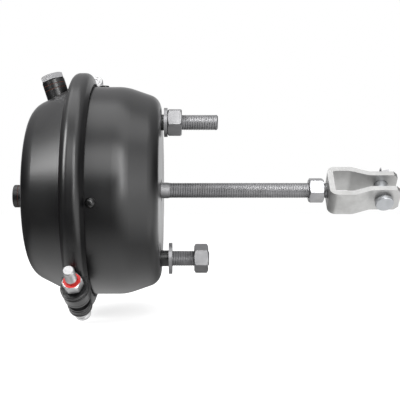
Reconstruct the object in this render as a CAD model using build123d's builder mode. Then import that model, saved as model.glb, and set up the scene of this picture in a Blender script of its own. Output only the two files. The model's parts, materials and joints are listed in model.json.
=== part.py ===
from build123d import *
import os
from math import cos, hypot, radians, sin, sqrt, tan

# Air brake chamber: a single-diaphragm service chamber with its push rod and clevis.
# Millimetres. The origin is the centre of the flat mounting face, +X runs along the push rod
# towards the clevis, and +Z runs up the line of the two mounting studs.
# Profiles of turned and pressed pieces are lists of (x, radius) or (radius, height) points.

# Driving dimensions: the stud spacing sets the size of the pressed housings
STUD_SPACING = 120.65
SHEET = 3.0
BODY_RADIUS = 0.756 * STUD_SPACING
SHOULDER_ANGLE = 19.0
FACE_INSET = 19.5
FACE_FLAT_RADIUS = BODY_RADIUS - FACE_INSET
FACE_CORNER_RADIUS = 13.0
SHOULDER_BEND_RADIUS = 40.0
FLANGE_BEND_RADIUS = 1.4
FLANGE_HEIGHT = 6.6
FLANGE_RADIUS = BODY_RADIUS + FLANGE_HEIGHT
COVER_APEX_X = -118.1
COVER_CROWN_DEPTH = 6.6
COVER_CONE_ANGLE = 26.8
COVER_FOOT_RISE = 0.5
COVER_FOOT_RADIUS = BODY_RADIUS + COVER_FOOT_RISE
COVER_CORNER_RADIUS = 20.0

# Clamp band that draws the two housing flanges together
BAND_X = -67.6
BAND_SHEET = 3.0
BAND_CROWN_GAP = 2.5
BAND_RADIUS = FLANGE_RADIUS + BAND_CROWN_GAP + BAND_SHEET
BAND_FOOT_RISE = 2.5
BAND_FOOT_RADIUS = BODY_RADIUS + BAND_FOOT_RISE
BAND_FOOT_HALF_WIDTH = 9.9
BAND_LEG_ANGLE = 21.0
BAND_CORNER_RADIUS = 6.0
BAND_GAP = 7.0
SEAT_GAP = 0.1

# Clamp bolts, one on each side of the band
CLAMP_BOLT_ANGLE = 53.0
CLAMP_BOLT_LEAN = 4.0
CLAMP_BOLT_SHIFT = 2.2
CLAMP_BOLT_STANDOFF = 7.0
CLAMP_BOLT_OFFSET = BAND_RADIUS + CLAMP_BOLT_STANDOFF
CLAMP_BOLT_RADIUS = 4.76
CLAMP_HOLE_GAP = 0.24
NUT_EAR_RADIUS = 10.5
NUT_EAR_LENGTH = 15.6
HEAD_EAR_RADIUS = 9.2
HEAD_EAR_LENGTH = 9.5
EAR_ROOT_DEPTH = 2.6
EAR_ROOT_RADIUS = BAND_RADIUS - EAR_ROOT_DEPTH
EAR_RIM_CHAMFER = 1.0
CLAMP_WASHER_THICKNESS = 1.7
CLAMP_WASHER_RADIUS = 7.5
CLAMP_NUT_WIDTH = 14.3
CLAMP_NUT_HEIGHT = 8.2
CLAMP_BOLT_END = 15.5
CLAMP_HEAD_RADIUS = 7.4
CLAMP_HEAD_HEIGHT = 12.0
CLAMP_NUT_TURN = 8.0

# Diaphragm
DIAPHRAGM_SHEET = 3.5
DIAPHRAGM_GAP = 0.8

# Air ports on the pressure housing
PORT_BOSS_RADIUS = 10.05
PORT_BORE_RADIUS = 7.3
PORT_GROOVE_DEPTH = 0.5
PORT_GROOVE_WIDTH = 0.6
PORT_RIM_CHAMFER = 0.8
PORT_RIB_PITCH = 4.1
PORT_ROOT_DEPTH = 6.0
PORT_SEAT_GAP = 0.15
AXIAL_PORT_DROP = 5.1
AXIAL_PORT_HEIGHT = 12.6
SIDE_PORT_X = -91.9
SIDE_PORT_TILT = 18.5
SIDE_PORT_TURN = 2.0
SIDE_PORT_HEIGHT = 15.6
PORT_PLUG_WIDTH = 19.0
PORT_PLUG_HEAD_HEIGHT = 5.0
PORT_PLUG_REACH = 9.5
PORT_PLUG_TURN = 6.5
THREAD_GAP = 0.05

# Mounting studs with the plate that carries them
STUD_CREST_RADIUS = 6.8
STUD_ENGAGED_RADIUS = 6.45
STUD_SHOULDER_RADIUS = 7.1
STUD_HEAD_RADIUS = 11.0
STUD_HEAD_HEIGHT = 4.0
STUD_HOLE_GAP = 0.1
STUD_TIP_CHAMFER = 1.2
UPPER_STUD_REACH = 50.0
LOWER_STUD_REACH = 42.3
UPPER_WASHER_X = 2.3
LOWER_WASHER_X = 6.6
UPPER_NUT_X = 5.6
LOWER_NUT_END_GAP = 0.9
UPPER_NUT_TURN = 10.6
LOWER_NUT_TURN = 22.9
MOUNTING_NUT_WIDTH = 22.4
MOUNTING_NUT_HEIGHT = 12.4
LOWER_NUT_X = LOWER_STUD_REACH - LOWER_NUT_END_GAP - MOUNTING_NUT_HEIGHT
UPPER_WASHER_RADIUS = 12.9
LOWER_WASHER_RADIUS = 13.8
MOUNTING_WASHER_THICKNESS = 3.0
MOUNTING_WASHER_GAP = 0.6
END_GAP = 0.2
PLATE_THICKNESS = 5.0
PLATE_END_REACH = 10.5
PLATE_LENGTH = STUD_SPACING + 2 * PLATE_END_REACH
PLATE_WIDTH = 52.0

# Rod guide in the mounting face
GUIDE_RADIUS = 10.0
GUIDE_FLANGE_RADIUS = 15.0
GUIDE_FLANGE_THICKNESS = 3.0
GUIDE_INSET = 0.3
GUIDE_GAP = 0.05

# Push rod, its plate and the return spring
ROD_SHANK_RADIUS = 7.0
ROD_THREAD_RADIUS = 6.7
ROD_THREAD_START_X = 5.8
ROD_TIP_CHAMFER = 1.0
ROD_GAP = 0.05
PUSH_PLATE_SHEET = 4.0
PUSH_PLATE_INSET = 38.5
PUSH_PLATE_RADIUS = BODY_RADIUS - PUSH_PLATE_INSET
PUSH_PLATE_RIM_RISE = 5.0
PUSH_PLATE_RIM_FLARE = 4.0
PUSH_PLATE_BEND_RADIUS = 5.0
PUSH_PLATE_GAP = 0.3
HUB_RADIUS = 13.0
HUB_HEIGHT = 13.0
HUB_FLOOR = 3.5
SPRING_WIRE_RADIUS = 2.8
SPRING_SMALL_RADIUS = 24.0
SPRING_LARGE_RADIUS = 40.0
SPRING_PITCH = 22.0
SPRING_SEAT_GAP = 0.3
SPRING_WIRE_SIDES = 8

# Jam nut and clevis
JAM_NUT_X = 130.4
JAM_NUT_HEIGHT = 13.0
JAM_NUT_WIDTH = 19.8
JAM_NUT_TURN = 11.1
CLEVIS_ROLL = 45.0
CLEVIS_BASE_X = 147.0
CLEVIS_STRAP = 5.0
CLEVIS_WIDTH = 24.4
CLEVIS_BASE_HALF_HEIGHT = 17.4
CLEVIS_TIP_HALF_HEIGHT = 11.75
CLEVIS_LENGTH = 62.5
CLEVIS_END_X = CLEVIS_BASE_X + CLEVIS_LENGTH
CLEVIS_NECK_START_X = CLEVIS_BASE_X + 0.35 * CLEVIS_LENGTH
CLEVIS_NECK_END_X = CLEVIS_BASE_X + 0.6 * CLEVIS_LENGTH
CLEVIS_BASE_BEND_RADIUS = 7.0
CLEVIS_NECK_BEND_RADIUS = 14.0
CLEVIS_END_CHAMFER = 3.5
CLEVIS_EDGE_RADIUS = 0.6

# Clevis pin and cotter pin
PIN_END_DISTANCE = 14.0
PIN_X = CLEVIS_END_X - PIN_END_DISTANCE
PIN_RADIUS = 6.0
PIN_HOLE_GAP = 0.3
PIN_HEAD_RADIUS = 8.1
PIN_HEAD_HEIGHT = 3.5
PIN_HEAD_STANDOFF = 2.4
PIN_END_REACH = 5.6
PIN_END_CHAMFER = 1.0
COTTER_RADIUS = 1.4
COTTER_HOLE_GAP = 0.2
COTTER_ARM_GAP = 1.2
COTTER_EYE_RADIUS = 2.6
COTTER_WIRE_RADIUS = 0.9
COTTER_STRAIGHT_LEG = 13.0
COTTER_BENT_LEG = 7.0
COTTER_BENT_TIP = 5.5
COTTER_BEND_RADIUS = 2.4
COTTER_BEND_ANGLE = 75.0

# Vent plugs in the non-pressure housing
VENT_HOLE_RADIUS = 3.0
VENT_STEM_GAP = 0.1
VENT_BARB_RADIUS = 3.4
VENT_BARB_LENGTH = 1.6
VENT_BARB_GAP = 0.5
FRONT_VENT_X = -52.8
FRONT_VENT_ANGLE = 6.0
FRONT_VENT_RADIUS = 4.2
FRONT_VENT_HEIGHT = 4.2
FRONT_VENT_DOME = 3.7
TOP_VENT_X = -50.4
TOP_VENT_RADIUS = 4.0
TOP_VENT_HEIGHT = 1.6
TOP_VENT_ROUNDING = 0.5
VENT_SEAT_GAP = 0.35

HEX_CORNER_SHARE = 0.96
HEX_CHAMFER_ANGLE = 30.0

pieces = []


def parallel(outline, gap):
    """The outline moved sideways by gap, to the right of its travel when gap is positive."""
    normals = []
    for (x0, r0), (x1, r1) in zip(outline, outline[1:]):
        length = hypot(x1 - x0, r1 - r0)
        normals.append(((r1 - r0) / length, (x0 - x1) / length))
    moved = []
    for index, (x, r) in enumerate(outline):
        before = normals[max(index - 1, 0)]
        after = normals[min(index, len(normals) - 1)]
        share = gap / (1 + before[0] * after[0] + before[1] * after[1])
        moved.append((x + share * (before[0] + after[0]), r + share * (before[1] + after[1])))
    return moved


def draw_wall(outline, wall, crowned=False):
    """Fill the active sketch with a sheet whose one face follows the outline."""
    other = parallel(outline, wall)
    if crowned:
        other[0] = (outline[0][0] + wall, 0)
    with BuildLine() as border:
        for face in (outline, other):
            if crowned:
                TangentArc(face[0], face[1], tangent=(0, 1))
                Polyline(*face[1:])
            else:
                Polyline(*face)
        Line(outline[0], other[0])
        Line(outline[-1], other[-1])
    make_face(border.edges())
    return other


def round_corner(sketch, corner, radius):
    """Round the sketch's vertex at the given corner."""
    fillet(sketch.vertices().sort_by_distance(corner)[0], radius)


def upright(seat):
    """The plane that stands on a seat, with its y axis along the seat's normal."""
    return Plane(origin=seat.origin, x_dir=seat.x_dir, z_dir=seat.x_dir.cross(seat.z_dir))


def across(x, z=0):
    """A seat square to the push rod's axis, with its normal towards the clevis."""
    return Plane(origin=(x, 0, z), x_dir=(0, 1, 0), z_dir=(1, 0, 0))


def spin_profile(profile, seat, mode=Mode.ADD):
    """Turn a list of (radius, height) points about the seat's normal."""
    with BuildSketch(upright(seat)) as section:
        with BuildLine():
            Polyline(*profile, close=True)
        make_face()
    revolve(section.sketch, axis=Axis(seat.origin, seat.z_dir), mode=mode)


def bore(seat, radius, length, both=False):
    """Cut a round hole from a seat along its normal."""
    with BuildSketch(seat) as outline:
        Circle(radius)
    extrude(outline.sketch, amount=length, both=both, mode=Mode.SUBTRACT)


def hexagon_with_chamfers(width, height, seat, turn, both_ends=True):
    """A hexagon across the given width, with its corners turned off as on a nut."""
    face = width / 2 * HEX_CORNER_SHARE
    corner = width / sqrt(3)
    drop = (corner - face) * tan(radians(HEX_CHAMFER_ANGLE))
    with BuildSketch(seat) as outline:
        RegularPolygon(width / 2, 6, major_radius=False, rotation=turn)
    extrude(outline.sketch, amount=height)
    low = [(face, 0), (corner, drop)] if both_ends else [(corner, 0)]
    blank = [(0, 0)] + low + [(corner, height - drop), (face, height), (0, height)]
    spin_profile(blank, seat, mode=Mode.INTERSECT)


def keep(piece, label):
    """Name a finished piece and put it on the list that is written out."""
    piece.part.label = label
    pieces.append(piece.part)


# Shared shapes of the flanges, the band and the pressure housing
leg_slope = tan(radians(BAND_LEG_ANGLE))
leg_cosine = cos(radians(BAND_LEG_ANGLE))


def flange_offset(radius):
    """Distance from the band's middle to a flange's outer face at this radius."""
    foot = BAND_FOOT_HALF_WIDTH - (BAND_SHEET + SEAT_GAP) / leg_cosine
    return foot - leg_slope * (radius - BAND_FOOT_RADIUS)


cover_slope = tan(radians(COVER_CONE_ANGLE))
cover_rim = (BAND_X - flange_offset(FLANGE_RADIUS), FLANGE_RADIUS)
cover_foot = (BAND_X - flange_offset(COVER_FOOT_RADIUS), COVER_FOOT_RADIUS)
cover_corner_x = COVER_APEX_X + COVER_CROWN_DEPTH
cover_corner = (cover_corner_x, COVER_FOOT_RADIUS + (cover_corner_x - cover_foot[0]) * cover_slope)
cover_outline = [(COVER_APEX_X, 0), cover_corner, cover_foot, cover_rim]


def cover_radius(x):
    """Outer radius of the pressure housing's cone at this station."""
    return COVER_FOOT_RADIUS + (x - cover_foot[0]) * cover_slope


shoulder_slope = tan(radians(SHOULDER_ANGLE))
face_corner = (0, FACE_FLAT_RADIUS + FACE_CORNER_RADIUS * tan(radians((90 - SHOULDER_ANGLE) / 2)))
shoulder_end = (-(BODY_RADIUS - face_corner[1]) / shoulder_slope, BODY_RADIUS)
body_foot = (BAND_X + flange_offset(BODY_RADIUS), BODY_RADIUS)
body_rim = (BAND_X + flange_offset(FLANGE_RADIUS), FLANGE_RADIUS)
guide_hole = GUIDE_RADIUS + GUIDE_GAP
body_outline = [(0, guide_hole), face_corner, shoulder_end, body_foot, body_rim]

side_tilt = radians(SIDE_PORT_TILT)
side_turn = radians(SIDE_PORT_TURN)
side_foot_radius = cover_radius(SIDE_PORT_X)
side_port_seat = Plane(
    origin=(SIDE_PORT_X, side_foot_radius * sin(side_turn), side_foot_radius * cos(side_turn)),
    x_dir=(0, -cos(side_turn), sin(side_turn)),
    z_dir=(-sin(side_tilt), cos(side_tilt) * sin(side_turn), cos(side_tilt) * cos(side_turn)),
)
axial_port_seat = Plane(
    origin=(COVER_APEX_X, 0, -AXIAL_PORT_DROP), x_dir=(0, -1, 0), z_dir=(-1, 0, 0)
)

stud_heights = {"upper": STUD_SPACING / 2, "lower": -STUD_SPACING / 2}
plate_back_x = -SHEET - PLATE_THICKNESS


def vent_seat(x, angle):
    """A seat on the body's cylinder, the angle counted up from the side at -Y."""
    out = (0, -cos(radians(angle)), sin(radians(angle)))
    return Plane(
        origin=(x, BODY_RADIUS * out[1], BODY_RADIUS * out[2]), x_dir=(1, 0, 0), z_dir=out
    )


front_vent_seat = vent_seat(FRONT_VENT_X, -FRONT_VENT_ANGLE)
top_vent_seat = vent_seat(TOP_VENT_X, 90)

# Pressure housing: a domed pressing whose flange leans in to fit the clamp band
with BuildPart() as pressure_housing:
    with BuildSketch(Plane.XY) as section:
        inside = draw_wall(cover_outline, SHEET, crowned=True)
        round_corner(section, cover_corner, COVER_CORNER_RADIUS)
        round_corner(section, inside[1], COVER_CORNER_RADIUS - SHEET)
        round_corner(section, cover_foot, FLANGE_BEND_RADIUS)
        round_corner(section, inside[2], FLANGE_BEND_RADIUS + SHEET)
    revolve(axis=Axis.X)
    for seat in (axial_port_seat, side_port_seat):
        bore(seat, PORT_BORE_RADIUS, COVER_CORNER_RADIUS, both=True)
keep(pressure_housing, "pressure_housing")

# Non-pressure housing: the cup with the flat mounting face
with BuildPart() as non_pressure_housing:
    with BuildSketch(Plane.XY) as section:
        inside = draw_wall(body_outline, -SHEET)
        round_corner(section, face_corner, FACE_CORNER_RADIUS)
        round_corner(section, inside[1], FACE_CORNER_RADIUS - SHEET)
        round_corner(section, shoulder_end, SHOULDER_BEND_RADIUS)
        round_corner(section, inside[2], SHOULDER_BEND_RADIUS - SHEET)
        round_corner(section, body_foot, FLANGE_BEND_RADIUS)
        round_corner(section, inside[3], FLANGE_BEND_RADIUS + SHEET)
    revolve(axis=Axis.X)
    for height in stud_heights.values():
        bore(across(0, height), STUD_SHOULDER_RADIUS + STUD_HOLE_GAP, -2 * SHEET)
    for seat in (front_vent_seat, top_vent_seat):
        bore(seat, VENT_HOLE_RADIUS, 2 * SHEET, both=True)
keep(non_pressure_housing, "non_pressure_housing")

# Clamp band: two half rings of rolled channel, drawn together by a bolt at each end
band_crown_half_width = BAND_FOOT_HALF_WIDTH - leg_slope * (BAND_RADIUS - BAND_FOOT_RADIUS)
band_outline = [
    (-BAND_FOOT_HALF_WIDTH, BAND_FOOT_RADIUS),
    (-band_crown_half_width, BAND_RADIUS),
    (band_crown_half_width, BAND_RADIUS),
    (BAND_FOOT_HALF_WIDTH, BAND_FOOT_RADIUS),
]


def bolt_directions(side):
    """Directions out to a clamp bolt and along the band towards its nut; side is 1 or -1."""
    angle = radians(CLAMP_BOLT_ANGLE)
    out = Vector(0, -cos(angle), -sin(angle)) * side
    along_band = Vector(0, -sin(angle), cos(angle)) * side
    return out, along_band


def bolt_seat(side, along):
    """A seat square to a clamp bolt, the distance along counted towards its nut."""
    out, along_band = bolt_directions(side)
    lean = radians(CLAMP_BOLT_LEAN)
    towards_nut = along_band * cos(lean) - Vector(sin(lean), 0, 0)
    origin = Vector(BAND_X + CLAMP_BOLT_SHIFT, 0, 0) + out * CLAMP_BOLT_OFFSET
    return Plane(origin=origin + towards_nut * along, x_dir=out.cross(towards_nut), z_dir=towards_nut)


def draw_ear(seat, out, ear_radius, length):
    """A round-ended ear that stands on the band around the clamp bolt."""
    root = CLAMP_BOLT_OFFSET - EAR_ROOT_RADIUS
    down = -1 if seat.y_dir.dot(out) > 0 else 1
    with BuildSketch(seat) as outline:
        Circle(ear_radius)
        with Locations((0, down * root / 2)):
            Rectangle(2 * ear_radius, root)
    extrude(outline.sketch, amount=length)


for label, side in (("clamp_band_upper", 1), ("clamp_band_lower", -1)):
    near_out, near_along = bolt_directions(side)
    far_out = bolt_directions(-side)[0]
    start_plane = Plane(
        origin=(BAND_X, 0, 0), x_dir=(1, 0, 0), z_dir=Vector(1, 0, 0).cross(far_out)
    )
    nut_ear_seat = bolt_seat(side, BAND_GAP / 2)
    head_ear_seat = bolt_seat(-side, -BAND_GAP / 2)
    head_ear_seat = Plane(
        origin=head_ear_seat.origin, x_dir=head_ear_seat.x_dir, z_dir=-head_ear_seat.z_dir
    )
    with BuildPart() as clamp_band:
        with BuildSketch(start_plane) as section:
            inside = draw_wall(band_outline, BAND_SHEET)
            for corner in (1, 2):
                round_corner(section, band_outline[corner], BAND_CORNER_RADIUS)
                round_corner(section, inside[corner], BAND_CORNER_RADIUS - BAND_SHEET)
        revolve(axis=Axis.X, revolution_arc=180)
        draw_ear(nut_ear_seat, near_out, NUT_EAR_RADIUS, NUT_EAR_LENGTH)
        draw_ear(head_ear_seat, far_out, HEAD_EAR_RADIUS, HEAD_EAR_LENGTH)
        for seat in (nut_ear_seat, head_ear_seat):
            bore(seat, CLAMP_BOLT_RADIUS + CLAMP_HOLE_GAP, 2 * NUT_EAR_LENGTH)
        with BuildSketch(start_plane):
            with BuildLine():
                foot = EAR_ROOT_RADIUS - 2 * BAND_FOOT_HALF_WIDTH
                Polyline((inside[0][0], foot), *inside, (inside[3][0], foot), close=True)
            make_face()
        revolve(axis=Axis.X, mode=Mode.SUBTRACT)
        with BuildSketch(Plane(origin=(BAND_X, 0, 0), x_dir=(1, 0, 0), z_dir=near_along)):
            Rectangle(4 * BAND_FOOT_HALF_WIDTH, 3 * BAND_RADIUS)
        extrude(amount=BAND_GAP / 2, both=True, mode=Mode.SUBTRACT)
    keep(clamp_band, label)

nut_face = BAND_GAP / 2 + NUT_EAR_LENGTH + CLAMP_WASHER_THICKNESS
bolt_tip = nut_face + CLAMP_NUT_HEIGHT + CLAMP_BOLT_END
head_face = -BAND_GAP / 2 - HEAD_EAR_LENGTH
for place, side in (("front", 1), ("rear", -1)):
    with BuildPart() as clamp_bolt:
        spin_profile(
            [
                (0, head_face - CLAMP_HEAD_HEIGHT),
                (CLAMP_HEAD_RADIUS - EAR_RIM_CHAMFER, head_face - CLAMP_HEAD_HEIGHT),
                (CLAMP_HEAD_RADIUS, head_face - CLAMP_HEAD_HEIGHT + EAR_RIM_CHAMFER),
                (CLAMP_HEAD_RADIUS, head_face),
                (CLAMP_BOLT_RADIUS, head_face),
                (CLAMP_BOLT_RADIUS, bolt_tip - EAR_RIM_CHAMFER),
                (CLAMP_BOLT_RADIUS - EAR_RIM_CHAMFER, bolt_tip),
                (0, bolt_tip),
            ],
            bolt_seat(side, 0),
        )
    keep(clamp_bolt, f"clamp_bolt_{place}")
    with BuildPart() as clamp_nut:
        seat = bolt_seat(side, nut_face)
        hexagon_with_chamfers(CLAMP_NUT_WIDTH, CLAMP_NUT_HEIGHT, seat, CLAMP_NUT_TURN)
        bore(seat, CLAMP_BOLT_RADIUS + THREAD_GAP, CLAMP_NUT_HEIGHT)
    keep(clamp_nut, f"clamp_nut_{place}")
    with BuildPart() as clamp_washer:
        with BuildSketch(bolt_seat(side, nut_face)):
            Circle(CLAMP_WASHER_RADIUS)
            Circle(CLAMP_BOLT_RADIUS + CLAMP_HOLE_GAP, mode=Mode.SUBTRACT)
        extrude(amount=-CLAMP_WASHER_THICKNESS)
    keep(clamp_washer, f"clamp_washer_{place}")

# Diaphragm: a moulded cup with a wedge-shaped bead between the flanges
cup_outside = parallel(cover_outline, SHEET + DIAPHRAGM_GAP)
cup_inside = parallel(cover_outline, SHEET + DIAPHRAGM_GAP + DIAPHRAGM_SHEET)
bead_right = parallel(body_outline, -SHEET - SEAT_GAP)
cup_apex_x = COVER_APEX_X + SHEET + DIAPHRAGM_GAP
bead_left = parallel(cover_outline, SHEET + SEAT_GAP)
with BuildPart() as diaphragm:
    with BuildSketch(Plane.XY) as section:
        with BuildLine():
            TangentArc((cup_apex_x, 0), cup_outside[1], tangent=(0, 1))
            Polyline(cup_outside[1], cup_outside[2], bead_left[3], bead_right[4], bead_right[3])
            Polyline(bead_right[3], cup_inside[2], cup_inside[1])
            TangentArc((cup_apex_x + DIAPHRAGM_SHEET, 0), cup_inside[1], tangent=(0, 1))
            Line((cup_apex_x, 0), (cup_apex_x + DIAPHRAGM_SHEET, 0))
        make_face()
        cup_corner_radius = COVER_CORNER_RADIUS - SHEET - DIAPHRAGM_GAP
        round_corner(section, cup_outside[1], cup_corner_radius)
        round_corner(section, cup_inside[1], cup_corner_radius - DIAPHRAGM_SHEET)
    revolve(axis=Axis.X)
keep(diaphragm, "diaphragm")

# Port bosses: ribbed threaded sockets seated on the pressure housing's surface
with BuildPart() as cover_envelope:
    with BuildSketch(Plane.XY) as section:
        grown = parallel(cover_outline, -PORT_SEAT_GAP)
        apex = (COVER_APEX_X - PORT_SEAT_GAP, 0)
        with BuildLine():
            TangentArc(apex, grown[1], tangent=(0, 1))
            Polyline(grown[1], grown[2], (grown[2][0], 0), apex)
        make_face()
        round_corner(section, grown[1], COVER_CORNER_RADIUS + PORT_SEAT_GAP)
    revolve(axis=Axis.X)


def boss_profile(height):
    """Half section of a boss, with a groove under each of its two upper ribs."""
    outer = PORT_BOSS_RADIUS
    floor = outer - PORT_GROOVE_DEPTH
    points = [(PORT_BORE_RADIUS, -PORT_ROOT_DEPTH), (outer, -PORT_ROOT_DEPTH)]
    for rib in (2, 1):
        top = height - rib * PORT_RIB_PITCH
        low = top - PORT_GROOVE_WIDTH
        points += [(outer, low), (floor, low), (floor, top), (outer, top)]
    points += [(outer, height - PORT_RIM_CHAMFER), (outer - PORT_RIM_CHAMFER, height)]
    return points + [(PORT_BORE_RADIUS, height)]


for label, seat, height in (
    ("axial_port_boss", axial_port_seat, AXIAL_PORT_HEIGHT),
    ("side_port_boss", side_port_seat, SIDE_PORT_HEIGHT),
):
    with BuildPart() as port_boss:
        spin_profile(boss_profile(height), seat)
        add(cover_envelope.part, mode=Mode.SUBTRACT)
    keep(port_boss, label)

with BuildPart() as side_port_plug:
    seat = side_port_seat.offset(SIDE_PORT_HEIGHT)
    hexagon_with_chamfers(
        PORT_PLUG_WIDTH, PORT_PLUG_HEAD_HEIGHT, seat, PORT_PLUG_TURN, both_ends=False
    )
    with BuildSketch(seat):
        Circle(PORT_BORE_RADIUS - THREAD_GAP)
    extrude(amount=-PORT_PLUG_REACH)
keep(side_port_plug, "side_port_plug")

# Reinforcement plate behind the mounting face
with BuildPart() as reinforcement_plate:
    with BuildSketch(across(-SHEET)):
        SlotOverall(PLATE_LENGTH, PLATE_WIDTH, rotation=90)
        Circle(guide_hole, mode=Mode.SUBTRACT)
        with Locations(*[(0, height) for height in stud_heights.values()]):
            Circle(STUD_SHOULDER_RADIUS + STUD_HOLE_GAP, mode=Mode.SUBTRACT)
    extrude(amount=-PLATE_THICKNESS)
keep(reinforcement_plate, "reinforcement_plate")


def stud_profile(shoulder, free_from, free_to, reach):
    """A stud is at its thread crest where it is free, and half a thread less inside its nut."""
    root = STUD_ENGAGED_RADIUS
    crest = STUD_CREST_RADIUS
    points = [
        (0, plate_back_x - STUD_HEAD_HEIGHT),
        (STUD_HEAD_RADIUS, plate_back_x - STUD_HEAD_HEIGHT),
        (STUD_HEAD_RADIUS, plate_back_x),
        (STUD_SHOULDER_RADIUS, plate_back_x),
        (STUD_SHOULDER_RADIUS, shoulder),
        (root, shoulder),
        (root, free_from),
        (crest, free_from),
        (crest, free_to),
        (root, free_to + crest - root),
        (root, reach - STUD_TIP_CHAMFER + crest - root),
        (crest - STUD_TIP_CHAMFER, reach),
        (0, reach),
    ]
    return list(dict.fromkeys(points))


upper_free = (UPPER_NUT_X + MOUNTING_NUT_HEIGHT + END_GAP, UPPER_STUD_REACH - STUD_TIP_CHAMFER)
lower_washer_end = LOWER_WASHER_X + MOUNTING_WASHER_THICKNESS
lower_free = (lower_washer_end + END_GAP, LOWER_NUT_X - STUD_TIP_CHAMFER)
for place, washer_x, washer_radius, nut_x, nut_turn, free, reach in (
    (
        "upper", UPPER_WASHER_X, UPPER_WASHER_RADIUS, UPPER_NUT_X, UPPER_NUT_TURN, upper_free,
        UPPER_STUD_REACH,
    ),
    (
        "lower", LOWER_WASHER_X, LOWER_WASHER_RADIUS, LOWER_NUT_X, LOWER_NUT_TURN, lower_free,
        LOWER_STUD_REACH,
    ),
):
    height = stud_heights[place]
    with BuildPart() as mounting_stud:
        profile = stud_profile(washer_x - END_GAP, free[0], free[1], reach)
        spin_profile(profile, across(0, height))
    keep(mounting_stud, f"mounting_stud_{place}")
    with BuildPart() as mounting_washer:
        with BuildSketch(across(washer_x, height)):
            Circle(washer_radius)
            Circle(STUD_CREST_RADIUS + MOUNTING_WASHER_GAP, mode=Mode.SUBTRACT)
        extrude(amount=MOUNTING_WASHER_THICKNESS)
    keep(mounting_washer, f"mounting_washer_{place}")
    with BuildPart() as mounting_nut:
        seat = across(nut_x, height)
        hexagon_with_chamfers(MOUNTING_NUT_WIDTH, MOUNTING_NUT_HEIGHT, seat, nut_turn)
        bore(seat, STUD_ENGAGED_RADIUS + THREAD_GAP, MOUNTING_NUT_HEIGHT)
    keep(mounting_nut, f"mounting_nut_{place}")

# Rod guide: a flanged bush held by the reinforcement plate
with BuildPart() as rod_guide:
    guide_bore = ROD_SHANK_RADIUS + ROD_GAP
    spin_profile(
        [
            (guide_bore, plate_back_x - GUIDE_FLANGE_THICKNESS),
            (GUIDE_FLANGE_RADIUS, plate_back_x - GUIDE_FLANGE_THICKNESS),
            (GUIDE_FLANGE_RADIUS, plate_back_x),
            (GUIDE_RADIUS, plate_back_x),
            (GUIDE_RADIUS, -GUIDE_INSET),
            (guide_bore, -GUIDE_INSET),
        ],
        across(0),
    )
keep(rod_guide, "rod_guide")

# Push plate: a dished pressing with a hub that holds the rod's end
push_plate_apex_x = cup_apex_x + DIAPHRAGM_SHEET + PUSH_PLATE_GAP
crown_share = PUSH_PLATE_RADIUS / cover_corner[1]
push_plate_edge = (push_plate_apex_x + COVER_CROWN_DEPTH * crown_share**2, PUSH_PLATE_RADIUS)
push_plate_rim = (
    push_plate_edge[0] + PUSH_PLATE_RIM_RISE, push_plate_edge[1] + PUSH_PLATE_RIM_FLARE
)
hub_back_x = push_plate_apex_x + PUSH_PLATE_SHEET / 2
rod_start_x = hub_back_x + HUB_FLOOR
with BuildPart() as push_plate:
    with BuildSketch(Plane.XY) as section:
        plate_outline = [(push_plate_apex_x, 0), push_plate_edge, push_plate_rim]
        inside = draw_wall(plate_outline, PUSH_PLATE_SHEET, crowned=True)
        round_corner(section, push_plate_edge, PUSH_PLATE_BEND_RADIUS)
    revolve(axis=Axis.X)
    with BuildSketch(across(hub_back_x)):
        Circle(HUB_RADIUS)
    extrude(amount=HUB_HEIGHT)
    bore(across(rod_start_x), ROD_SHANK_RADIUS + ROD_GAP, HUB_HEIGHT)
keep(push_plate, "push_plate")

# Push rod: plain where it runs in the guide, threaded out to the clevis
rod_end_x = CLEVIS_BASE_X + CLEVIS_STRAP
with BuildPart() as pushrod:
    spin_profile(
        [
            (0, rod_start_x + ROD_GAP),
            (ROD_SHANK_RADIUS, rod_start_x + ROD_GAP),
            (ROD_SHANK_RADIUS, ROD_THREAD_START_X),
            (ROD_THREAD_RADIUS, ROD_THREAD_START_X + ROD_SHANK_RADIUS - ROD_THREAD_RADIUS),
            (ROD_THREAD_RADIUS, rod_end_x - ROD_TIP_CHAMFER),
            (ROD_THREAD_RADIUS - ROD_TIP_CHAMFER, rod_end_x),
            (0, rod_end_x),
        ],
        across(0),
    )
keep(pushrod, "pushrod")

# Return spring: a conical coil between the push plate and the reinforcement plate
spring_foot_x = push_plate_apex_x + PUSH_PLATE_SHEET + SPRING_SEAT_GAP + SPRING_WIRE_RADIUS
spring_foot_x += COVER_CROWN_DEPTH * (SPRING_SMALL_RADIUS / cover_corner[1]) ** 2
spring_top_x = plate_back_x - SPRING_SEAT_GAP - SPRING_WIRE_RADIUS
spring_height = spring_top_x - spring_foot_x
spring_cone = Vector(spring_height, SPRING_LARGE_RADIUS - SPRING_SMALL_RADIUS, 0)
with BuildPart() as return_spring:
    with BuildLine() as coil:
        Helix(
            pitch=SPRING_PITCH,
            height=spring_height,
            radius=SPRING_SMALL_RADIUS,
            center=(spring_foot_x, 0, 0),
            direction=(1, 0, 0),
            cone_angle=spring_cone.get_angle(Vector(1, 0, 0)),
        )
    with BuildSketch(Plane(origin=coil.line @ 0, z_dir=coil.line % 0)):
        RegularPolygon(SPRING_WIRE_RADIUS, SPRING_WIRE_SIDES)
    sweep(is_frenet=True)
keep(return_spring, "return_spring")

# Jam nut that locks the clevis
with BuildPart() as jam_nut:
    seat = across(JAM_NUT_X)
    hexagon_with_chamfers(JAM_NUT_WIDTH, JAM_NUT_HEIGHT, seat, JAM_NUT_TURN)
    bore(seat, ROD_THREAD_RADIUS + THREAD_GAP, JAM_NUT_HEIGHT)
keep(jam_nut, "jam_nut")

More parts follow.
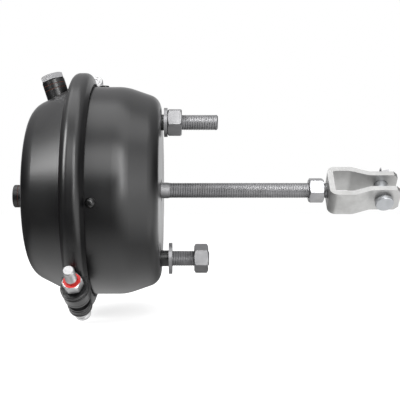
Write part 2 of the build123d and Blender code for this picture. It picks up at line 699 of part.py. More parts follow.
# Clevis: one strap bent to a U, necked in where it takes the pin
roll = radians(CLEVIS_ROLL)
pin_axis = Vector(0, -cos(roll), -sin(roll))
edge_axis = Vector(0, -sin(roll), cos(roll))
clevis_plane = Plane(origin=(0, 0, 0), x_dir=(1, 0, 0), z_dir=edge_axis)


def pin_seat(along):
    """A seat square to the clevis pin, the distance along counted towards its head."""
    return Plane(
        origin=Vector(PIN_X, 0, 0) + pin_axis * along, x_dir=(1, 0, 0), z_dir=pin_axis
    )


with BuildPart() as clevis:
    strap_outline = [
        (CLEVIS_BASE_X, 0),
        (CLEVIS_BASE_X, CLEVIS_BASE_HALF_HEIGHT),
        (CLEVIS_NECK_START_X, CLEVIS_BASE_HALF_HEIGHT),
        (CLEVIS_NECK_END_X, CLEVIS_TIP_HALF_HEIGHT),
        (CLEVIS_END_X, CLEVIS_TIP_HALF_HEIGHT),
    ]
    with BuildSketch(clevis_plane) as section:
        inside = draw_wall(strap_outline, CLEVIS_STRAP)
        round_corner(section, strap_outline[1], CLEVIS_BASE_BEND_RADIUS)
        round_corner(section, inside[1], CLEVIS_BASE_BEND_RADIUS - CLEVIS_STRAP)
        for corner in (2, 3):
            near, far = strap_outline[corner], inside[corner]
            sharper = CLEVIS_NECK_BEND_RADIUS - CLEVIS_STRAP
            round_corner(section, near, CLEVIS_NECK_BEND_RADIUS if corner == 2 else sharper)
            round_corner(section, far, sharper if corner == 2 else CLEVIS_NECK_BEND_RADIUS)
        mirror(about=Plane.XZ)
    extrude(amount=CLEVIS_WIDTH / 2, both=True)
    tip_corners = clevis.edges().filter_by(Axis((0, 0, 0), pin_axis)).group_by(Axis.X)[-1]
    chamfer(tip_corners, CLEVIS_END_CHAMFER)
    bore(pin_seat(0), PIN_RADIUS + PIN_HOLE_GAP, 2 * CLEVIS_TIP_HALF_HEIGHT, both=True)
    bore(across(CLEVIS_BASE_X), ROD_THREAD_RADIUS + THREAD_GAP, CLEVIS_STRAP)
keep(clevis, "clevis")

# Clevis pin, loose in the clevis, with a cross hole for the cotter
pin_head_face = CLEVIS_TIP_HALF_HEIGHT + PIN_HEAD_STANDOFF
pin_end = -CLEVIS_TIP_HALF_HEIGHT - PIN_END_REACH
cotter_along = -CLEVIS_TIP_HALF_HEIGHT - COTTER_ARM_GAP - COTTER_RADIUS
cotter_centre = Vector(PIN_X, 0, 0) + pin_axis * cotter_along
cotter_seat = Plane(origin=cotter_centre, x_dir=(1, 0, 0), z_dir=edge_axis)
with BuildPart() as clevis_pin:
    spin_profile(
        [
            (0, pin_end),
            (PIN_RADIUS - PIN_END_CHAMFER, pin_end),
            (PIN_RADIUS, pin_end + PIN_END_CHAMFER),
            (PIN_RADIUS, pin_head_face),
            (PIN_HEAD_RADIUS, pin_head_face),
            (PIN_HEAD_RADIUS, pin_head_face + PIN_HEAD_HEIGHT - CLEVIS_EDGE_RADIUS),
            (PIN_HEAD_RADIUS - CLEVIS_EDGE_RADIUS, pin_head_face + PIN_HEAD_HEIGHT),
            (0, pin_head_face + PIN_HEAD_HEIGHT),
        ],
        pin_seat(0),
    )
    bore(cotter_seat, COTTER_RADIUS + COTTER_HOLE_GAP, 2 * PIN_RADIUS, both=True)
keep(clevis_pin, "clevis_pin")

# Cotter pin: an eye and two half-round legs, one of them bent over
leg_start = -PIN_RADIUS - COTTER_WIRE_RADIUS - END_GAP
eye_plane = cotter_seat.offset(leg_start - COTTER_EYE_RADIUS)
with BuildPart() as cotter_pin:
    for side, reach in ((Keep.BOTTOM, COTTER_STRAIGHT_LEG), (Keep.TOP, COTTER_BENT_LEG)):
        with BuildSketch(cotter_seat.offset(leg_start)):
            Circle(COTTER_RADIUS)
            split(bisect_by=Plane.YZ, keep=side)
        extrude(amount=reach - leg_start)
    bend_plane = cotter_seat.offset(COTTER_BENT_LEG)
    with BuildSketch(bend_plane):
        Circle(COTTER_RADIUS)
        split(bisect_by=Plane.YZ, keep=Keep.TOP)
    bend_centre = bend_plane.from_local_coords((COTTER_BEND_RADIUS, 0, 0))
    revolve(axis=Axis(bend_centre, bend_plane.y_dir), revolution_arc=COTTER_BEND_ANGLE)
    extrude(cotter_pin.faces().sort_by(Axis.X)[-1], amount=COTTER_BENT_TIP)
    with BuildSketch(eye_plane):
        with Locations((COTTER_EYE_RADIUS, 0)):
            Circle(COTTER_WIRE_RADIUS)
    revolve(axis=Axis(eye_plane.origin, pin_axis))
keep(cotter_pin, "cotter_pin")

# Vent plugs: a domed one on the side and a flat one on top
for label, seat, radius, height, rounding in (
    ("vent_plug_front", front_vent_seat, FRONT_VENT_RADIUS, FRONT_VENT_HEIGHT, FRONT_VENT_DOME),
    ("vent_plug_top", top_vent_seat, TOP_VENT_RADIUS, TOP_VENT_HEIGHT, TOP_VENT_ROUNDING),
):
    stem = VENT_HOLE_RADIUS - VENT_STEM_GAP
    barb = -SHEET - VENT_BARB_GAP
    with BuildPart() as vent_plug:
        spin_profile(
            [
                (0, barb - VENT_BARB_LENGTH),
                (stem, barb - VENT_BARB_LENGTH),
                (VENT_BARB_RADIUS, barb),
                (stem, barb),
                (stem, VENT_SEAT_GAP),
                (radius, VENT_SEAT_GAP),
                (radius, height),
                (0, height),
            ],
            seat,
        )
        rim = vent_plug.edges().sort_by(Axis(seat.origin, seat.z_dir))[-1]
        fillet(rim, rounding)
    keep(vent_plug, label)

os.makedirs("parts", exist_ok=True)
for piece in pieces:
    export_step(piece, f"parts/{piece.label}.step")
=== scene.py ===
import bmesh
import bpy
import json
from math import atan2, cos, hypot, pi, radians, sin, tau
from mathutils import Matrix, Vector


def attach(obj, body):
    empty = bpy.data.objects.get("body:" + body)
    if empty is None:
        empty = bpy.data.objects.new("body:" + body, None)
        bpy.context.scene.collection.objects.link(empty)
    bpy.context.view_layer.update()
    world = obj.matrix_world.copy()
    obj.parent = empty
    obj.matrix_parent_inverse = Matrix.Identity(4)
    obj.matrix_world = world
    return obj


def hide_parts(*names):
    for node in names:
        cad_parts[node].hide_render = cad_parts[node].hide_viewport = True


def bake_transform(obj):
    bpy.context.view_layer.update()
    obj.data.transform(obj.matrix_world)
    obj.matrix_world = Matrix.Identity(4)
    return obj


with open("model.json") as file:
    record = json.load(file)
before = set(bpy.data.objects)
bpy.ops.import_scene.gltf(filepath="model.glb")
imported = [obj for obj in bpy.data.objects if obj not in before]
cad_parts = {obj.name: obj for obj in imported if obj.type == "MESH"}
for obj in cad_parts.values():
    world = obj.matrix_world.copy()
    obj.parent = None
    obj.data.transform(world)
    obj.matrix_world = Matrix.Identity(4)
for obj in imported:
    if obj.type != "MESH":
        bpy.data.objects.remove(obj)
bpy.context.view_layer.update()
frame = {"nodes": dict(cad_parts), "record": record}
nodes = frame["nodes"]

# Lengths are in millimetres and become metres only where a mesh or a shader takes them
MM = 0.001
MERGE_DISTANCE = 0.001 * MM
X_AXIS = (1, 0, 0)
CLAMP_SIDES = (("front", 1), ("rear", -1))


# Shader nodes

def new_material(name):
    """An empty node material, its node tree and its principled shader."""
    material = bpy.data.materials.new(name)
    material.use_nodes = True
    return material, material.node_tree, material.node_tree.nodes["Principled BSDF"]


def add_node(tree, kind, **settings):
    """A shader node; its inputs are given by name, with underscores for spaces."""
    node = tree.nodes.new(kind)
    for key, value in settings.items():
        if hasattr(node, key):
            setattr(node, key, value)
        else:
            node.inputs[key.replace("_", " ")].default_value = value
    return node


def feed(tree, value, socket):
    """Give a socket another node's output, a plain number or a plain colour."""
    if isinstance(value, bpy.types.NodeSocket):
        tree.links.new(value, socket)
    elif isinstance(value, tuple):
        socket.default_value = (*value, 1)
    else:
        socket.default_value = value


def object_place(tree):
    """Where a point lies on the object, in metres."""
    return add_node(tree, "ShaderNodeTexCoord").outputs["Object"]


def noise(tree, scale, detail, roughness=0.55):
    """Noise on the object's own metres."""
    texture = add_node(
        tree, "ShaderNodeTexNoise", Scale=scale, Detail=detail, Roughness=roughness
    )
    feed(tree, object_place(tree), texture.inputs["Vector"])
    return texture.outputs["Fac"]


def spread(tree, source, low, high, start=0.0, stop=1.0):
    """Go from low to high while a value goes from start to stop, and no further."""
    node = add_node(
        tree, "ShaderNodeMapRange", From_Min=start, From_Max=stop, To_Min=low, To_Max=high
    )
    feed(tree, source, node.inputs["Value"])
    return node.outputs["Result"]


def mix(tree, factor, first, second):
    """Mix two colours."""
    node = add_node(tree, "ShaderNodeMix", data_type="RGBA")
    for socket, value in ((0, factor), (6, first), (7, second)):
        feed(tree, value, node.inputs[socket])
    return node.outputs[2]


def maths(tree, operation, *values, clamp=False):
    """One step of arithmetic on numbers."""
    node = add_node(tree, "ShaderNodeMath", operation=operation, use_clamp=clamp)
    for socket, value in zip(node.inputs, values):
        feed(tree, value, socket)
    return node.outputs["Value"]


def multiplied(tree, sources):
    """The product of several values."""
    product = sources[0]
    for source in sources[1:]:
        product = maths(tree, "MULTIPLY", product, source)
    return product


def bump(tree, height, strength, depth, normal=None):
    """A bump of some depth in metres, on top of another normal."""
    node = add_node(tree, "ShaderNodeBump", Strength=strength, Distance=depth)
    feed(tree, height, node.inputs["Height"])
    if normal:
        feed(tree, normal, node.inputs["Normal"])
    return node.outputs["Normal"]


def counted_from(tree, origin):
    """Where a point lies when counted from an origin."""
    offset = add_node(tree, "ShaderNodeVectorMath", operation="SUBTRACT")
    offset.inputs[1].default_value = origin
    feed(tree, object_place(tree), offset.inputs[0])
    return offset.outputs["Vector"]


def distance_along(tree, origin, direction):
    """How far a point lies along a direction from an origin."""
    dot = add_node(tree, "ShaderNodeVectorMath", operation="DOT_PRODUCT")
    dot.inputs[1].default_value = direction
    feed(tree, counted_from(tree, origin), dot.inputs[0])
    return dot.outputs["Value"]


def distance_from_line(tree, origin, direction):
    """How far a point lies from a line through an origin."""
    cross = add_node(tree, "ShaderNodeVectorMath", operation="CROSS_PRODUCT")
    cross.inputs[1].default_value = direction
    feed(tree, counted_from(tree, origin), cross.inputs[0])
    reach = add_node(tree, "ShaderNodeVectorMath", operation="LENGTH")
    feed(tree, cross.outputs["Vector"], reach.inputs[0])
    return reach.outputs["Value"]


# Finishes: noise scales are counted per metre

PATCH_SCALE, PEEL_SCALE, GRIT_SCALE = 28, 900, 3200
PEEL_DEPTH, GRIT_DEPTH = 0.01 * MM, 0.003 * MM
CLOUD_SCALE, MARK_SCALE, STAIN_SCALE = 120, 900, 40
MARK_DEPTH = 0.03 * MM
STAIN_COLOUR, STAIN_STRENGTH = (0.16, 0.15, 0.14), 0.35
ZINC_METALLIC = 0.92
DAB_RED = (0.4, 0.012, 0.01)
DAB_START, DAB_STOP, DAB_RADIUS = 29.2 * MM, 32.2 * MM, 7.9 * MM
DAB_FADE, DAB_RAGGEDNESS = 0.2 * MM, 2.2 * MM
EDGE_WEAR, EDGE_ANGLE = 0.3 * MM, radians(35)


def painted(name, colour, shade, roughness):
    """Sprayed paint with orange peel, grit and a slightly uneven gloss."""
    material, tree, shader = new_material(name)
    patches = noise(tree, PATCH_SCALE, detail=6)
    tone = mix(tree, spread(tree, patches, 0.0, 1.0, 0.35, 0.75), colour, shade)
    feed(tree, tone, shader.inputs["Base Color"])
    gloss = spread(tree, patches, roughness - 0.05, roughness + 0.1)
    feed(tree, gloss, shader.inputs["Roughness"])
    peel = bump(tree, noise(tree, PEEL_SCALE, detail=2), 0.2, PEEL_DEPTH)
    grit = bump(tree, noise(tree, GRIT_SCALE, detail=3), 0.1, GRIT_DEPTH, peel)
    feed(tree, grit, shader.inputs["Normal"])
    return material


def plated(name, colour, shade, roughness):
    """Zinc-plated steel with cloudy patches, stains and fine tool marks."""
    material, tree, shader = new_material(name)
    clouds = noise(tree, CLOUD_SCALE, detail=6)
    marks = noise(tree, MARK_SCALE, detail=4)
    stains = noise(tree, STAIN_SCALE, detail=5, roughness=0.65)
    tone = mix(tree, spread(tree, clouds, 0.0, 1.0, 0.3, 0.7), colour, shade)
    stained = spread(tree, stains, 0.0, STAIN_STRENGTH, 0.55, 0.8)
    feed(tree, mix(tree, stained, tone, STAIN_COLOUR), shader.inputs["Base Color"])
    gloss = spread(tree, marks, roughness - 0.1, roughness + 0.12)
    feed(tree, gloss, shader.inputs["Roughness"])
    feed(tree, bump(tree, marks, 0.15, MARK_DEPTH), shader.inputs["Normal"])
    shader.inputs["Metallic"].default_value = ZINC_METALLIC
    return material


def dabbed(name, origin, direction):
    """Zinc plate with a ragged ring of red inspection paint where a bolt leaves its nut."""
    material = plated(name, (0.48, 0.48, 0.48), (0.38, 0.38, 0.385), 0.36)
    tree = material.node_tree
    shader = tree.nodes["Principled BSDF"]
    height = distance_along(tree, origin, direction)
    radius = distance_from_line(tree, origin, direction)
    blots = noise(tree, 420, detail=3)
    limits = []
    for source, bare, covered in (
        (height, DAB_START, DAB_START + DAB_FADE),
        (height, DAB_STOP + DAB_FADE, DAB_STOP),
        (radius, DAB_RADIUS + DAB_FADE, DAB_RADIUS),
    ):
        ragged = maths(tree, "MULTIPLY_ADD", blots, DAB_RAGGEDNESS, source)
        limits.append(spread(tree, ragged, 0.0, 1.0, bare, covered))
    mask = multiplied(tree, limits)
    plate = shader.inputs["Base Color"].links[0].from_socket
    feed(tree, mix(tree, mask, plate, DAB_RED), shader.inputs["Base Color"])
    shine = maths(tree, "SUBTRACT", ZINC_METALLIC, mask, clamp=True)
    feed(tree, shine, shader.inputs["Metallic"])
    return material


finishes = {
    name: make(name, colour, shade, roughness)
    for make, name, colour, shade, roughness in (
        (painted, "black_paint", (0.003, 0.003, 0.0033), (0.005, 0.005, 0.0052), 0.29),
        (plated, "zinc_plate", (0.34, 0.34, 0.345), (0.27, 0.27, 0.28), 0.38),
        (plated, "nut_zinc", (0.27, 0.27, 0.275), (0.21, 0.21, 0.215), 0.42),
        (plated, "thread_zinc", (0.24, 0.24, 0.245), (0.18, 0.18, 0.185), 0.48),
        (plated, "plain_steel", (0.34, 0.34, 0.35), (0.24, 0.24, 0.25), 0.42),
        (plated, "clevis_steel", (0.44, 0.44, 0.435), (0.37, 0.37, 0.365), 0.45),
        (plated, "pin_zinc", (0.38, 0.39, 0.405), (0.3, 0.31, 0.32), 0.36),
        (painted, "spring_steel", (0.03, 0.03, 0.032), (0.05, 0.05, 0.052), 0.4),
        (painted, "diaphragm_rubber", (0.012, 0.012, 0.012), (0.02, 0.02, 0.02), 0.6),
        (painted, "guide_plastic", (0.02, 0.02, 0.02), (0.03, 0.03, 0.03), 0.5),
        (painted, "vent_plastic", (0.003, 0.003, 0.003), (0.005, 0.005, 0.005), 0.24),
        (painted, "seal_brown", (0.11, 0.03, 0.018), (0.06, 0.018, 0.012), 0.5),
        (painted, "shade_black", (0.001, 0.001, 0.001), (0.002, 0.002, 0.002), 0.8),
    )
}
for part in frame["record"]["subparts"]:
    mesh = nodes[part["node"]].data
    mesh.materials.clear()
    mesh.materials.append(finishes[part["material_slot"]])
for name in (
    "mounting_washer_upper", "mounting_washer_lower", "mounting_nut_upper",
    "mounting_nut_lower",
):
    nodes[name].data.materials[0] = finishes["nut_zinc"]

# Worn edges on the forged and stamped steel
for name in (
    "clevis", "jam_nut", "mounting_nut_upper", "mounting_nut_lower", "side_port_plug",
    "clamp_nut_front", "clamp_nut_rear", "mounting_washer_upper", "mounting_washer_lower",
):
    edge = nodes[name].modifiers.new("worn_edge", "BEVEL")
    edge.width = EDGE_WEAR
    edge.segments = 2
    edge.limit_method = "ANGLE"
    edge.angle_limit = EDGE_ANGLE


# Ways of making a piece

RINGS_PER_TURN = 6


def lathe(outline, steps):
    """Turn (height, radius) points about the local z axis."""
    shape = bmesh.new()
    line = [shape.verts.new((radius * MM, 0, height * MM)) for height, radius in outline]
    edges = [shape.edges.new(pair) for pair in zip(line, line[1:])]
    bmesh.ops.spin(
        shape, geom=line + edges, axis=(0, 0, 1), cent=(0, 0, 0), angle=tau, steps=steps,
        use_merge=True,
    )
    bmesh.ops.remove_doubles(shape, verts=shape.verts, dist=MERGE_DISTANCE)
    bmesh.ops.recalc_face_normals(shape, faces=shape.faces)
    return shape


def rings(start, end, pitch, radius):
    """Outline points close enough together to carry a thread of this pitch."""
    count = round((end - start) / pitch * RINGS_PER_TURN)
    return [(start + (end - start) * i / count, radius) for i in range(count + 1)]


def cut_thread(shape, start, end, pitch, depth):
    """Press a helical vee groove into a lathed bar, with a runout at each end."""
    for vert in shape.verts:
        height = vert.co.z / MM
        radius = hypot(vert.co.x, vert.co.y) / MM
        if not start < height < end or radius < depth:
            continue
        turn = (height / pitch - atan2(vert.co.y, vert.co.x) / tau) % 1
        runout = min(1, (height - start) / pitch, (end - height) / pitch)
        share = 1 - depth * runout * (1 - abs(2 * turn - 1)) / radius
        vert.co.x *= share
        vert.co.y *= share


def threaded_bar(shank, start, end, radius, pitch, depth, tip, steps):
    """A bar with its shank's outline, a thread from start to end and a chamfered tip."""
    shape = lathe(shank + rings(start, end, pitch, radius) + [tip, (tip[0], 0)], steps)
    cut_thread(shape, start, end, pitch, depth)
    return shape


def seat_matrix(origin, normal, x_dir=(0, 1, 0)):
    """The placement of a piece whose local z axis runs along a normal."""
    z_axis = Vector(normal).normalized()
    x_axis = (Vector(x_dir) - z_axis * Vector(x_dir).dot(z_axis)).normalized()
    turn = Matrix((x_axis, z_axis.cross(x_axis), z_axis)).transposed().to_4x4()
    return Matrix.Translation(Vector(origin) * MM) @ turn


def finish_piece(name, shape, matrix, materials, body=None, sharp=35):
    """Put a finished shape in its place as a named piece, which may ride on a body."""
    bmesh.ops.transform(shape, matrix=matrix, verts=shape.verts)
    mesh = bpy.data.meshes.new(name)
    shape.to_mesh(mesh)
    shape.free()
    for material in materials:
        mesh.materials.append(material)
    for face in mesh.polygons:
        face.use_smooth = True
    mesh.set_sharp_from_angle(angle=radians(sharp))
    piece = bpy.data.objects.new(name, mesh)
    bpy.context.scene.collection.objects.link(piece)
    if body:
        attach(piece, body)
    return piece


# Pushrod, plain in its guide and threaded from there on

ROD_BACK, ROD_SHOULDER, ROD_TIP = -104.9, 5.8, 152.0
ROD_RADIUS, ROD_THREAD_RADIUS, ROD_TIP_RADIUS = 7.0, 6.75, 5.7
ROD_STEP = 0.5
ROD_THREAD_START, ROD_THREAD_END = 6.5, 151.0
ROD_PITCH, ROD_THREAD_DEPTH = 1.5, 0.45
BAR_STEPS = 28

rod_shank = [
    (ROD_BACK, 0), (ROD_BACK, ROD_RADIUS), (ROD_SHOULDER, ROD_RADIUS),
    (ROD_SHOULDER + ROD_STEP, ROD_THREAD_RADIUS),
]
rod_shape = threaded_bar(
    rod_shank, ROD_THREAD_START, ROD_THREAD_END, ROD_THREAD_RADIUS, ROD_PITCH,
    ROD_THREAD_DEPTH, (ROD_TIP, ROD_TIP_RADIUS), BAR_STEPS,
)
threaded_rod = finish_piece(
    "threaded_rod", rod_shape, seat_matrix((0, 0, 0), X_AXIS),
    [finishes["thread_zinc"]], "pushrod",
)
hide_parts("pushrod")

# Mounting studs: a head inside the housing, a painted neck and a bare thread

STUD_HEIGHT = 60.325
STUD_HEAD_BACK, STUD_HEAD_FACE, STUD_HEAD_RADIUS = -12, -8, 11
STUD_NECK_RADIUS, STUD_THREAD_RADIUS, STUD_TIP_RADIUS = 7.1, 6.8, 5.6
STUD_STEP, STUD_LEAD, STUD_CHAMFER = 0.3, 0.5, 1.2
NECK_PAINT_END = 0.2
STUD_PITCH, STUD_THREAD_DEPTH = 1.5, 0.5
UPPER_SHOULDER, UPPER_REACH = 2.1, 50.0
LOWER_SHOULDER, LOWER_REACH = 6.4, 42.3

for place, height, shoulder, reach in (
    ("upper", STUD_HEIGHT, UPPER_SHOULDER, UPPER_REACH),
    ("lower", -STUD_HEIGHT, LOWER_SHOULDER, LOWER_REACH),
):
    stud_shank = [
        (STUD_HEAD_BACK, 0), (STUD_HEAD_BACK, STUD_HEAD_RADIUS),
        (STUD_HEAD_FACE, STUD_HEAD_RADIUS), (STUD_HEAD_FACE, STUD_NECK_RADIUS),
        (shoulder, STUD_NECK_RADIUS), (shoulder + STUD_STEP, STUD_THREAD_RADIUS),
    ]
    stud_shape = threaded_bar(
        stud_shank, shoulder + STUD_LEAD, reach - STUD_CHAMFER, STUD_THREAD_RADIUS, STUD_PITCH,
        STUD_THREAD_DEPTH, (reach, STUD_TIP_RADIUS), BAR_STEPS,
    )
    for face in stud_shape.faces:
        painted_neck = face.calc_center_median().z / MM < shoulder + NECK_PAINT_END
        face.material_index = int(painted_neck)
    stud = finish_piece(
        f"threaded_stud_{place}", stud_shape, seat_matrix((0, 0, height), X_AXIS),
        [finishes["thread_zinc"], finishes["black_paint"]], "chamber",
    )
    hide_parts(f"mounting_stud_{place}")

# Clamp bolts, square to the band's split but for a slight lean

BOLT_CENTRE_X, BOLT_OFFSET = -65.4, 110.31
BOLT_ANGLE, BOLT_LEAN = radians(53), radians(4)
BOLT_RADIUS, BOLT_TIP, BOLT_TIP_RADIUS = 4.76, 44.3, 3.9
BOLT_HEAD_FACE = -13.0
BOLT_THREAD_START, BOLT_THREAD_END = BOLT_HEAD_FACE + 4, 43.2
BOLT_PITCH, BOLT_THREAD_DEPTH = 1.6, 0.6
RIDGED_HEAD = (
    (-11.4, 0), (-11.4, 2.0), (-12, 2.5), (-12, 3.5), (-11.5, 4.0), (-11.5, 4.8),
    (-11.9, 5.2), (-11.9, 6.0), (-11.1, 6.8), (-7.4, 7.1), (-7.0, 6.5), (-6.0, 6.5),
    (-5.6, 7.1), (-3.4, 7.2), (-3.0, 6.6), (-2.2, 6.6), (-1.8, 7.4), (0, 7.4),
    (0, BOLT_RADIUS),
)


def clamp_bolt_line(side):
    """Centre of a clamp bolt and its direction towards the nut."""
    out = Vector((0, -cos(BOLT_ANGLE), -sin(BOLT_ANGLE))) * side
    along_band = Vector((0, -sin(BOLT_ANGLE), cos(BOLT_ANGLE))) * side
    along = along_band * cos(BOLT_LEAN) - Vector((sin(BOLT_LEAN), 0, 0))
    return Vector((BOLT_CENTRE_X, 0, 0)) + out * BOLT_OFFSET, along


for place, side in CLAMP_SIDES:
    centre, along = clamp_bolt_line(side)
    bolt_shape = threaded_bar(
        [(BOLT_HEAD_FACE + height, radius) for height, radius in RIDGED_HEAD],
        BOLT_THREAD_START, BOLT_THREAD_END, BOLT_RADIUS, BOLT_PITCH, BOLT_THREAD_DEPTH,
        (BOLT_TIP, BOLT_TIP_RADIUS), steps=32,
    )
    nut_paint = dabbed(f"dabbed_zinc_{place}", centre * MM, along)
    bolt = finish_piece(
        f"threaded_clamp_bolt_{place}", bolt_shape, seat_matrix(centre, along, X_AXIS),
        [nut_paint], "chamber",
    )
    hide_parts(f"clamp_bolt_{place}")
    nodes[f"clamp_nut_{place}"].data.materials[0] = nut_paint

# Conical return spring: its small end lies at the push plate, its large end is seated

SPRING_FOOT, SPRING_TOP = -102.63, -11.1
SPRING_FOOT_RADIUS, SPRING_FLARE = 24, 16
SPRING_PITCH, WIRE_RADIUS = 22.0, 2.8
STEPS_PER_TURN = 28

spring_height = SPRING_TOP - SPRING_FOOT
spring_turns = spring_height / SPRING_PITCH
spring_steps = round(spring_turns * STEPS_PER_TURN)
coil = bmesh.new()
wire = bmesh.ops.create_circle(coil, segments=12, radius=WIRE_RADIUS * MM)["verts"]
bmesh.ops.rotate(coil, verts=wire, cent=(0, 0, 0), matrix=Matrix.Rotation(pi / 2, 3, "X"))
bmesh.ops.translate(coil, verts=wire, vec=(SPRING_FOOT_RADIUS * MM, 0, 0))
bmesh.ops.spin(
    coil, geom=coil.verts[:] + coil.edges[:], axis=(0, 0, 1), cent=(0, 0, 0),
    dvec=(0, 0, spring_height / spring_steps * MM), angle=tau * spring_turns,
    steps=spring_steps,
)
for vert in coil.verts:
    share = min(max(vert.co.z / MM / spring_height, 0), 1)
    outward = Vector((vert.co.x, vert.co.y, 0)).normalized()
    vert.co += outward * (SPRING_FLARE * share * MM)
bmesh.ops.holes_fill(coil, edges=[edge for edge in coil.edges if edge.is_boundary])
bmesh.ops.recalc_face_normals(coil, faces=coil.faces)
coiled_spring = finish_piece(
    "coiled_spring", coil, seat_matrix((SPRING_FOOT, 0, 0), X_AXIS),
    [finishes["spring_steel"]],
)
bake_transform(coiled_spring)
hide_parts("return_spring")

# Rolling diaphragm: its crown lies at the push plate, its bead is clamped

rubber = bmesh.new()
rubber.from_mesh(nodes["diaphragm"].data)
bmesh.ops.remove_doubles(rubber, verts=rubber.verts, dist=MERGE_DISTANCE)
rolling_diaphragm = finish_piece(
    "rolling_diaphragm", rubber, Matrix.Identity(4),
    [finishes["diaphragm_rubber"]],
)
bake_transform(rolling_diaphragm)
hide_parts("diaphragm")

# Sealing rings in the grooves of the port bosses

SEAL_RADIUS, SEAL_BULGE, SEAL_HALF_WIDTH = 9.56, 0.3, 0.29
SEAL_DROPS = (4.4, 8.5)
AXIAL_PORT, AXIAL_RIM = (-118.1, 0, -5.1), 12.6
SIDE_PORT_X, SIDE_PORT_RADIUS, SIDE_RIM = -91.9, 83.15, 15.6
SIDE_TILT, SIDE_TURN = radians(18.5), radians(2.0)

side_out = Vector((0, sin(SIDE_TURN), cos(SIDE_TURN)))
side_port = Vector((SIDE_PORT_X, 0, 0)) + side_out * SIDE_PORT_RADIUS
side_normal = side_out * cos(SIDE_TILT) - Vector((sin(SIDE_TILT), 0, 0))
for port, origin, normal, rim in (
    ("axial", AXIAL_PORT, (-1, 0, 0), AXIAL_RIM),
    ("side", side_port, side_normal, SIDE_RIM),
):
    for number, drop in enumerate(SEAL_DROPS, 1):
        section = [
            (
                rim - drop + SEAL_HALF_WIDTH * cos(turn * pi / 4),
                SEAL_RADIUS + SEAL_BULGE * sin(turn * pi / 4),
            )
            for turn in range(9)
        ]
        finish_piece(
            f"{port}_port_seal_{number}", lathe(section, steps=48),
            seat_matrix(origin, normal), [finishes["seal_brown"]],
            "chamber", sharp=60,
        )

# Rolled collars on the clamp ears, and the shaded grooves between them

EAR_RADIUS, EAR_BORE, EAR_LIP = 9.2, 5.6, 0.8
# Top and bottom along the bolt, radius and finish
EAR_RINGS = (
    (19.1, 16.9, 11.3, "black_paint"), (16.9, 14.3, 10.62, "shade_black"),
    (14.3, 12.9, 11.1, "black_paint"), (6.4, 5.0, 10.62, "shade_black"),
    (-5.2, -7.4, 9.9, "black_paint"), (-7.4, -9.2, 9.32, "shade_black"),
    (-10.9, -12.9, 9.8, "black_paint"),
)

for place, side in CLAMP_SIDES:
    centre, along = clamp_bolt_line(side)
    for number, (top, bottom, radius, finish) in enumerate(EAR_RINGS, 1):
        half, middle = (top - bottom) / 2, (top + bottom) / 2
        lip = min(EAR_LIP, radius - EAR_RADIUS)
        section = [
            (middle + half * cos(turn * pi / 6), radius - lip + lip * sin(turn * pi / 6))
            for turn in range(7)
        ]
        section += [(bottom, EAR_BORE), (top, EAR_BORE), (top, radius - lip)]
        finish_piece(
            f"ear_ring_{place}_{number}", lathe(section, steps=56),
            seat_matrix(centre, along, X_AXIS), [finishes[finish]],
            "chamber", sharp=50,
        )


# Studio, in metres

FLOOR_HEIGHT, FLOOR_HALF_WIDTH = -0.1103, 3
FLOOR_GREY, FLOOR_DARK = (0.42, 0.42, 0.42), (0.01, 0.01, 0.01)
FLOOR_LEVEL = 0.72
FRONT_DARK, BACK_WHITE = (0.015, 0.015, 0.016), (1.25, 1.25, 1.26)
RIGHT_BRIGHT, RIGHT_DIM = (2.2, 2.2, 2.21), (0.2, 0.2, 0.2)
CEILING, WHITE = (0.8, 0.8, 0.81), (1.0, 1.0, 1.0)


def floor_glow(tree, paths):
    """The floor's own light: even to the eye, and in patches to what shines."""
    place = add_node(tree, "ShaderNodeSeparateXYZ")
    feed(tree, object_place(tree), place.inputs["Vector"])
    across, depth = place.outputs["X"], place.outputs["Y"]
    # Painted light under the part, which fades right beneath it to a painted contact shadow
    under = multiplied(tree, (
        spread(tree, depth, 0.0, 1.35, -0.2, -0.08),
        spread(tree, depth, 1.0, 0.3, -0.03, 0.05),
        spread(tree, across, 0.0, 1.0, -0.24, -0.12),
        spread(tree, across, 1.0, 0.5, -0.02, 0.03),
    ))
    beside = multiplied(tree, (
        spread(tree, across, 0.0, 2.0, -0.03, 0.08),
        spread(tree, depth, 1.0, 0.0, -0.12, -0.06),
    ))
    rod_end = spread(tree, across, 0.0, 1.4, 0.115, 0.15)
    patches = maths(tree, "MAXIMUM", maths(tree, "MAXIMUM", under, beside), rod_end)
    level = spread(tree, paths.outputs["Is Camera Ray"], 0.0, FLOOR_LEVEL)
    return maths(tree, "MULTIPLY_ADD", paths.outputs["Is Glossy Ray"], patches, level)


def lay_floor():
    """A floor just under the part: white to the eye, nearly black to what shines."""
    shape = bmesh.new()
    bmesh.ops.create_grid(shape, x_segments=1, y_segments=1, size=FLOOR_HALF_WIDTH)
    bmesh.ops.translate(shape, verts=shape.verts, vec=(0, 0, FLOOR_HEIGHT))
    mesh = bpy.data.meshes.new("floor")
    shape.to_mesh(mesh)
    shape.free()
    paint, tree, shader = new_material("floor_white")
    paths = add_node(tree, "ShaderNodeLightPath")
    # Painted shade in reflections: to what shines the floor is nearly black, lit only by the
    # glow patches
    tone = mix(tree, paths.outputs["Is Glossy Ray"], FLOOR_GREY, FLOOR_DARK)
    feed(tree, tone, shader.inputs["Base Color"])
    feed(tree, floor_glow(tree, paths), shader.inputs["Emission Strength"])
    shader.inputs["Emission Color"].default_value = (*WHITE, 1)
    shader.inputs["Roughness"].default_value = 0.9
    mesh.materials.append(paint)
    floor = bpy.data.objects.new("floor", mesh)
    bpy.context.scene.collection.objects.link(floor)


def softbox(name, place, aim, width, height, power):
    """A rectangular lamp pointed at a spot on the part."""
    lamp = bpy.data.lights.new(name, "AREA")
    lamp.shape = "RECTANGLE"
    lamp.size = width
    lamp.size_y = height
    lamp.energy = power
    light = bpy.data.objects.new(name, lamp)
    light.location = place
    light.rotation_euler = (Vector(aim) - Vector(place)).to_track_quat("-Z", "Y").to_euler()
    bpy.context.scene.collection.objects.link(light)


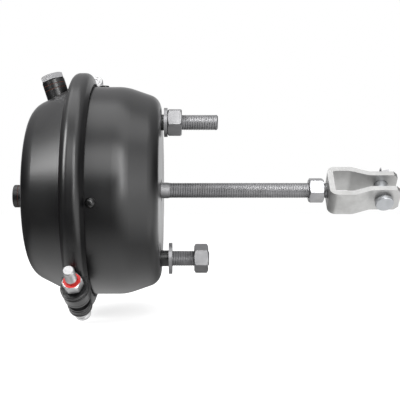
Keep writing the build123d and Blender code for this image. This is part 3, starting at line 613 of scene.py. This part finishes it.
def light_room():
    """A room that is dark in front, white behind and bright to the right."""
    world = bpy.data.worlds.new("studio")
    bpy.context.scene.world = world
    world.use_nodes = True
    tree = world.node_tree
    direction = add_node(tree, "ShaderNodeSeparateXYZ")
    feed(
        tree, add_node(tree, "ShaderNodeTexCoord").outputs["Generated"],
        direction.inputs["Vector"],
    )
    right, back, up = (direction.outputs[axis] for axis in "XYZ")
    walls = mix(tree, spread(tree, back, 0.0, 1.0, 0.8, 0.98), FRONT_DARK, BACK_WHITE)
    far_right = spread(tree, right, 0.0, 1.0, 0.75, 1.0)
    right_wall = mix(tree, far_right, RIGHT_BRIGHT, RIGHT_DIM)
    sideways = multiplied(tree, (
        spread(tree, right, 0.0, 1.0, 0.08, 0.28), spread(tree, back, 1.0, 0.0, -0.3, 0.1),
    ))
    walls = mix(tree, sideways, walls, right_wall)
    walls = mix(tree, spread(tree, up, 0.0, 1.0, 0.1, 0.8), walls, CEILING)
    seen = add_node(tree, "ShaderNodeLightPath").outputs["Is Camera Ray"]
    feed(tree, mix(tree, seen, walls, WHITE), tree.nodes["Background"].inputs["Color"])


def set_camera():
    """A camera looking straight at the part's side."""
    camera_data = bpy.data.cameras.new("camera")
    camera_data.lens = 77.4
    camera_data.sensor_width = 36
    camera_data.shift_x = 0.02125
    camera_data.shift_y = -0.024
    camera = bpy.data.objects.new("camera", camera_data)
    camera.location = (0.0266, -0.764, 0.0)
    camera.rotation_euler = (radians(90), 0, 0)
    bpy.context.scene.collection.objects.link(camera)
    bpy.context.scene.camera = camera


lay_floor()
softbox("top_light", (-0.05, -0.1, 0.95), (0.0, 0, 0), 1.5, 0.6, 5.5)
softbox("right_strip", (0.36, -1.1, 0.4), (-0.03, 0, 0.02), 0.1, 1.0, 5)
softbox("left_bank", (-0.86, -0.6, 0.62), (-0.08, 0, 0.02), 0.45, 0.75, 17)
softbox("middle_bank", (0.03, -0.98, 0.6), (-0.05, 0, 0), 0.5, 0.6, 4.5)
light_room()
set_camera()
bpy.context.scene.view_settings.view_transform = "Standard"
